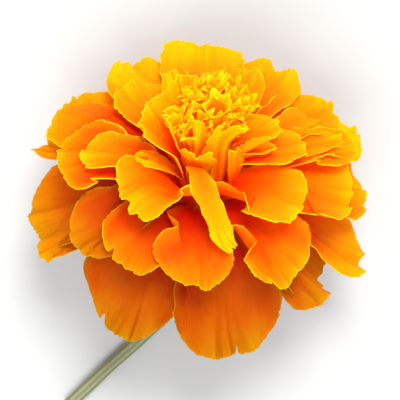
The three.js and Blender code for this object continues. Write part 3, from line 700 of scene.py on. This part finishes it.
# From a fiery throat, through orange, to gold: the further out the blade's tone is, the sooner.
reach = blade.maths("ADD", way, blade.maths("MULTIPLY", blade.maths("SUBTRACT", patch, 0.5), 0.35))
sooner = blade.maths("MULTIPLY", blade.maths("SUBTRACT", tone, 0.5), 0.55)
reach = blade.maths("ADD", reach, sooner)
colour = blade.mix(blade.span(reach, 0.22, 0.64), linear(196, 12, 0), linear(242, 76, 0))
colour = blade.mix(blade.span(reach, 0.55, 0.92), colour, linear(252, 132, 0))
colour = blade.mix(blade.span(reach, 0.82, 1.2), colour, linear(255, 184, 0))
colour = blade.mix(blade.span(vein, 0.35, 0.7, 0.0, 0.12), colour, linear(240, 84, 0))
# Painted shade: the redder streak along the valley.
colour = blade.mix(blade.maths("MULTIPLY", blade.value("ember"), 0.85), colour, linear(206, 22, 0))
# Painted shade: the blades lowest down, in the shade of those above, are darkened and made
# browner, and their gold edge is dimmed.
unshaded = blade.maths("SUBTRACT", 1.0, blade.maths("MULTIPLY", blade.value("shade"), 0.75))
glow = blade.maths("MULTIPLY", blade.span(edge, 0.0, 2.0, 0.4, 0.0), unshaded)
colour = blade.mix(glow, colour, linear(255, 160, 0))
rim = blade.span(edge, 0.02, 0.22, 0.78, 0.0)
rim = blade.maths("MULTIPLY", blade.maths("MULTIPLY", rim, blade.span(way, 0.2, 0.45)), unshaded)
colour = blade.mix(rim, colour, linear(255, 206, 10))
# Painted shade: each blade's colour is multiplied down by its shade.
colour = blade.mix(blade.value("shade"), colour, linear(166, 206, 255), "MULTIPLY")
blade.put(blade.shader.inputs["Base Color"], colour)
blade.shader.inputs["Roughness"].default_value = 0.6
blade.shader.inputs["Subsurface Weight"].default_value = 0.5
blade.shader.inputs["Subsurface Radius"].default_value = (1.0, 0.5, 0.05)
blade.shader.inputs["Subsurface Scale"].default_value = 0.002
blade.shader.inputs["Specular IOR Level"].default_value = 0.03
# Painted glow: the blades give off a faint red light of their own, standing in for light that
# comes through them, so that even the deepest gaps between them stay red; shaded blades glow less.
blade.shader.inputs["Emission Color"].default_value = linear(205, 30, 0)
blade.put(blade.shader.inputs["Emission Strength"], blade.maths("MULTIPLY", unshaded, 0.17))
fine = blade.noise(1.0, 2, blade.join(blade.maths("MULTIPLY", fan, 34.0),
                                      blade.maths("MULTIPLY", way, 5.0), own))
cellular = blade.noise(5200, 2)
blade.bump(blade.maths("ADD", fine, blade.maths("MULTIPLY", cellular, 0.4)), 0.00016, 0.6)

for seed, f in enumerate(florets):
    leaf = petal(f, PETAL_SEED + seed)
    leaf.data.materials.append(blade.material)
    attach(leaf, "root")
    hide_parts("ray_floret_" + f["name"])


# ---------------------------------------------------------------------------
# Closed buds: the youngest disc florets, not open yet. They stand packed in spirals on a low dome
# in the middle of the crest, and their golden heads show between the open ones.
CREST_MIDDLE = (2.0, 5.3)
CREST_TOP = 20.8
GOLDEN_TURN = 137.5
BUD_COUNT = 90
BUD_RADIUS = 0.6
BUD_LIFT = 0.7
BUD_SIDES = 96
BUDS_REACH = 5.2
BUNDLE_SIDE = [(1.0, 5.0), (2.4, 9.0), (3.8, 13.0), (4.7, 15.4)]
BUNDLE_ROWS = 40
BUNDLE_FOOT = 5.0
BUNDLE_TOP = 17.4
BUNDLE_PEAK = 18.0
DOME = 0.05

crest = Nodes("disc_floret_skin")
colour = crest.mix(crest.span(crest.value("height"), 0.7, 1.05), linear(244, 112, 0),
                   linear(255, 176, 0))
# Painted highlight: the points of the lobes are made paler gold.
colour = crest.mix(crest.span(crest.value("height"), 1.04, 1.11, 0.0, 0.9), colour,
                   linear(255, 202, 8))
colour = crest.mix(crest.span(crest.value("inside"), 0.4, 1.0), colour, linear(240, 100, 0))
colour = crest.mix(crest.span(crest.value("own"), 0.0, 1.0, 0.0, 0.25), colour,
                   linear(255, 150, 0))
crest.put(crest.shader.inputs["Base Color"], colour)
crest.shader.inputs["Roughness"].default_value = 0.5
crest.shader.inputs["Specular IOR Level"].default_value = 0.04
crest.shader.inputs["Subsurface Weight"].default_value = 0.15
crest.shader.inputs["Subsurface Scale"].default_value = 0.0008
# Painted glow: the florets give off a faint orange light of their own, so that the shaded gaps
# between them stay orange.
crest.shader.inputs["Emission Color"].default_value = linear(215, 90, 0)
crest.shader.inputs["Emission Strength"].default_value = 0.12
crest.bump(crest.noise(2400, 3), 0.0001, 0.6)

# Each bud sits a golden turn on from the last and a little further out, as in every such head.
buds = np.array([BUDS_REACH * math.sqrt((i + 0.5) / BUD_COUNT)
                 * np.exp(1j * math.radians(i * GOLDEN_TURN)) for i in range(BUD_COUNT)])
bud_angles = np.linspace(0, 2 * math.pi, BUD_SIDES, endpoint=False)
bud_rows = []
bud_lift = []
for radius, height in BUNDLE_SIDE:
    bud_rows.append(np.stack([radius * np.cos(bud_angles), radius * np.sin(bud_angles),
                              np.full(BUD_SIDES, height)], -1))
    bud_lift.append(np.zeros(BUD_SIDES))
for radius in np.linspace(BUDS_REACH, 0.1, BUNDLE_ROWS):
    spot = radius * np.exp(1j * bud_angles)
    near = np.abs(spot[:, None] - buds[None, :]).min(1) / BUD_RADIUS
    lift = np.sqrt(np.clip(1 - near ** 2, 0, 1))
    height = BUNDLE_TOP - DOME * radius ** 2 + BUD_LIFT * lift
    bud_rows.append(np.stack([spot.real, spot.imag, height], -1))
    bud_lift.append(lift)
bud_points = np.concatenate(bud_rows + [np.array([[0, 0, BUNDLE_FOOT], [0, 0, BUNDLE_PEAK]])])
bud_points[:, :2] += np.array(CREST_MIDDLE) * (bud_points[:, 2:] / CREST_TOP) ** 1.5
bud_faces = grid_faces(len(bud_rows), BUD_SIDES, True)
bottom, summit = len(bud_points) - 2, len(bud_points) - 1
last_row = (len(bud_rows) - 1) * BUD_SIDES
bud_faces += [(bottom, (j + 1) % BUD_SIDES, j) for j in range(BUD_SIDES)]
bud_faces += [(summit, last_row + j, last_row + (j + 1) % BUD_SIDES) for j in range(BUD_SIDES)]
closed_buds = new_object("closed_buds", place(bud_points), bud_faces)
point_value(closed_buds, "height", 0.7 + 0.25 * np.concatenate(bud_lift + [[0.0, 1.0]]))
point_value(closed_buds, "inside", np.zeros(len(bud_points)))
point_value(closed_buds, "own", np.full(len(bud_points), 0.5))
closed_buds.data.materials.append(crest.material)
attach(closed_buds, "root")
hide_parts("disc_floret_bundle")


# ---------------------------------------------------------------------------
# Open disc florets: the crest's tuft. Each is a slender tube that opens in a star of five pointed
# lobes, golden yellow outside and orange in its throat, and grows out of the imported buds.
DISC_COUNT = 32
TUFT_REACH = 5.0
TUFT_SEED = 7
TUBE_SEED = 500
# A tube's foot stands at this height, and this share of the way out to its head.
TUBE_FOOT = 4.0
TUBE_LEAN = 0.22
TUBE_SIDES = 40
LOBES = 5
THROAT = 0.72
# The widest open one leans out of the front: its place off the axis, its compass and its size.
WIDEST_OFF, WIDEST_COMPASS, WIDEST_SIZE = 3.0, 262.0, 2.05
WIDEST_ROOM = 2.0
# A few stand out to the side, where a gap between the crest's ray florets lets them through.
SIDE_TUBES = [(7.2, 222.0, 1.5), (7.6, 209.0, 1.4), (7.0, 235.0, 1.3), (8.2, 216.0, 1.2)]
# How far up the floret each ring of the tube is, its radius, how much of a lobe it carries, and
# how far inside the throat it lies: up the outside, over the rim and down into the throat.
TUBE_SECTION = [(0.00, 0.24, 0.00, 0.0), (0.55, 0.28, 0.00, 0.0), (0.74, 0.40, 0.00, 0.0),
                (0.84, 0.66, 0.00, 0.0), (0.92, 0.84, 0.00, 0.0), (0.97, 0.92, 0.12, 0.0),
                (0.985, 0.94, 0.45, 0.0), (0.985, 0.94, 0.80, 0.0), (0.985, 0.94, 1.00, 0.0),
                (0.985, 0.90, 0.97, 0.1), (0.985, 0.86, 0.70, 0.15), (0.985, 0.84, 0.35, 0.3),
                (0.96, 0.78, 0.03, 0.6), (0.90, 0.62, 0.00, 0.9), (0.80, 0.34, 0.00, 1.0),
                (THROAT, 0.22, 0.00, 1.0)]


def tube_floret(name, off, compass, top, size, lobes, seed):
    """One open floret, which leans from the axis to off mm from it, and comes to top mm up."""
    rng = np.random.RandomState(seed)
    turn = rng.uniform(0, 2 * math.pi)
    angles = np.linspace(0, 2 * math.pi, TUBE_SIDES, endpoint=False)
    # Each lobe comes to a point in its middle, and is longer or shorter than the next.
    lobe = (1 - np.abs((angles * LOBES / (2 * math.pi)) % 1 * 2 - 1)) ** 1.4
    long = np.repeat(rng.uniform(0.65, 1.3, LOBES), TUBE_SIDES // LOBES)
    spread = np.repeat(rng.uniform(0.2, 0.85, LOBES), TUBE_SIDES // LOBES)
    foot = np.array([TUBE_LEAN * off, 0.0, TUBE_FOOT])
    head = np.array([off, 0.0, top])
    upward = (head - foot) / np.linalg.norm(head - foot)
    facing = upward + np.array([0.09 * off + rng.uniform(-0.25, 0.35),
                                rng.uniform(-0.35, 0.35), 0])
    facing /= np.linalg.norm(facing)
    rows = []
    inside = []
    for way_up, radius, point, within in TUBE_SECTION:
        middle = foot + (head - foot) * way_up
        normal = upward + (facing - upward) * max(0.0, (way_up - 0.76) / 0.22)
        normal /= np.linalg.norm(normal)
        one = np.cross((0.0, 1.0, 0.0), normal)
        one /= np.linalg.norm(one)
        two = np.cross(normal, one)
        blade_out = lobes * point * lobe * long
        r = size * (radius + blade_out * spread)
        lift = size * (blade_out * (1.25 - spread) - 0.25 * blade_out ** 2)
        rows.append(middle + (r * np.cos(angles + turn))[:, None] * one
                    + (r * np.sin(angles + turn))[:, None] * two + lift[:, None] * normal)
        inside.append(np.full(TUBE_SIDES, within))
    points = np.concatenate(rows + [(foot + (head - foot) * THROAT)[None]])
    faces = grid_faces(len(rows), TUBE_SIDES, True)
    base = (len(rows) - 1) * TUBE_SIDES
    faces += [(len(points) - 1, base + j, base + (j + 1) % TUBE_SIDES) for j in range(TUBE_SIDES)]
    points = points @ turn_about("z", math.radians(compass)).T
    points[:, :2] += np.array(CREST_MIDDLE) * (points[:, 2:] / CREST_TOP) ** 1.5
    made = new_object(name, place(points), faces)
    height = [way_up + 0.12 * point for way_up, _, point, _ in TUBE_SECTION]
    point_value(made, "height", np.concatenate([np.repeat(height, TUBE_SIDES), [THROAT]]))
    point_value(made, "inside", np.concatenate(inside + [[1.0]]))
    point_value(made, "own", np.full(len(points), rng.uniform(0, 1)))
    return made


picker = np.random.RandomState(TUFT_SEED)
widest_spot = WIDEST_OFF * np.exp(1j * math.radians(WIDEST_COMPASS))
tubes = [(WIDEST_OFF, WIDEST_COMPASS, WIDEST_SIZE)]
# The others crowd round the widest one, a little apart from it.
for i in range(DISC_COUNT):
    off = 0.5 + TUFT_REACH * math.sqrt((i + 0.5) / DISC_COUNT)
    compass = i * GOLDEN_TURN + picker.uniform(-6, 6)
    size = picker.uniform(0.95, 1.65)
    if abs(off * np.exp(1j * math.radians(compass)) - widest_spot) > WIDEST_ROOM:
        tubes.append((off + picker.uniform(-0.2, 0.2), compass, size))
tubes += SIDE_TUBES
for i, (off, compass, size) in enumerate(tubes):
    top = CREST_TOP - DOME * off * off + (0.3 if i == 0 else picker.uniform(-0.8, 0.8))
    lobe_length = 0.95 if i == 0 else 1.35
    tube = tube_floret(f"disc_floret_{i + 1:02d}", off, compass, top, size, lobe_length,
                       TUBE_SEED + i)
    tube.data.materials.append(crest.material)
    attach(tube, "root")
    if i == 0:
        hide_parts(*(f"disc_floret_{k}" for k in range(1, 6)))


# ---------------------------------------------------------------------------
# The plain pale surface that the flower lies on, matt like paper, under two large soft lamps and
# in pale surroundings, so that its shadows stay light.
FLOOR_HALF = 1.5
LIGHT_AIM = (0, -0.01, 0.02)
floor = new_object("floor", [(x * FLOOR_HALF, y * FLOOR_HALF, 0)
                             for x, y in ((-1, -1), (1, -1), (1, 1), (-1, 1))],
                   [(0, 1, 2, 3)], smooth=False)
paper = Nodes("pale_paper")
paper.put(paper.shader.inputs["Base Color"],
          paper.mix(paper.noise(60, 4), linear(184, 185, 183), linear(192, 193, 191)))
paper.shader.inputs["Roughness"].default_value = 0.9
paper.bump(paper.noise(900, 3), 0.0001, 0.3)
floor.data.materials.append(paper.material)


def soft_box(name, spot, size, watts, colour):
    """A round lamp of this size that faces the bloom."""
    data = bpy.data.lights.new(name, "AREA")
    data.shape = "DISK"
    data.size = size
    data.energy = watts
    data.color = colour
    lamp = bpy.data.objects.new(name, data)
    bpy.context.collection.objects.link(lamp)
    lamp.location = spot
    way = np.array(LIGHT_AIM) - np.array(spot)
    lamp.rotation_euler = Vector(way).to_track_quat("-Z", "Y").to_euler()


soft_box("key", (-0.10, -0.36, 0.78), 0.34, 7.0, (1.0, 0.98, 0.95))
soft_box("fill", (0.12, 0.42, 0.66), 0.5, 4.8, (0.95, 0.98, 1.0))
world = bpy.data.worlds.new("surroundings")
world.use_nodes = True
world.node_tree.nodes["Background"].inputs["Color"].default_value = (0.95, 0.97, 1.0, 1.0)
world.node_tree.nodes["Background"].inputs["Strength"].default_value = 0.74
bpy.context.scene.world = world
bpy.context.scene.view_settings.view_transform = "Standard"
